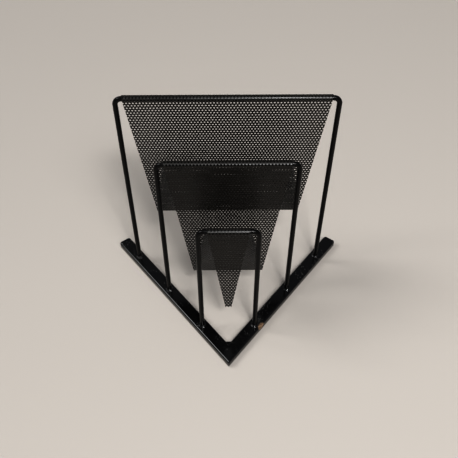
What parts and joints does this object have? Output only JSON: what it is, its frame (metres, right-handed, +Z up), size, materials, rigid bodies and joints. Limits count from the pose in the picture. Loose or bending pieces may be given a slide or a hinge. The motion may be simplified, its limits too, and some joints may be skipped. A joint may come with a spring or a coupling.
{
  "type": "magazine rack",
  "caption": "Free-standing magazine rack: a flat steel V base, upright rod hoops, and one tapering perforated sheet folded over the hoops into troughs.",
  "frame": {"origin": "on the floor, under the centre of the rack's outline", "axes": "+X to the right along the hoops' bars, +Y from the point of the V towards the large hoop, +Z up"},
  "size_m": [0.4176, 0.2824, 0.375],
  "materials": {
    "base_paint": "semi-gloss black paint on rectangular steel tube, with a chipped patch on the right arm",
    "rod_paint": "semi-gloss black paint on round steel rod",
    "sheet_paint": "satin black paint on perforated steel sheet",
    "weld_paint": "semi-gloss black paint over rough weld bead"
  },
  "bodies": {
    "root": {"apex_weld": "weld_paint", "base_arm_left": "base_paint", "base_arm_right": "base_paint", "end_cap_left": "base_paint", "end_cap_right": "base_paint", "foot_welds_large": "weld_paint", "foot_welds_medium": "weld_paint", "foot_welds_small": "weld_paint", "hoop_large": "rod_paint", "hoop_medium": "rod_paint", "hoop_small": "rod_paint", "perforated_sheet": "sheet_paint"}
  },
  "joints": []
}
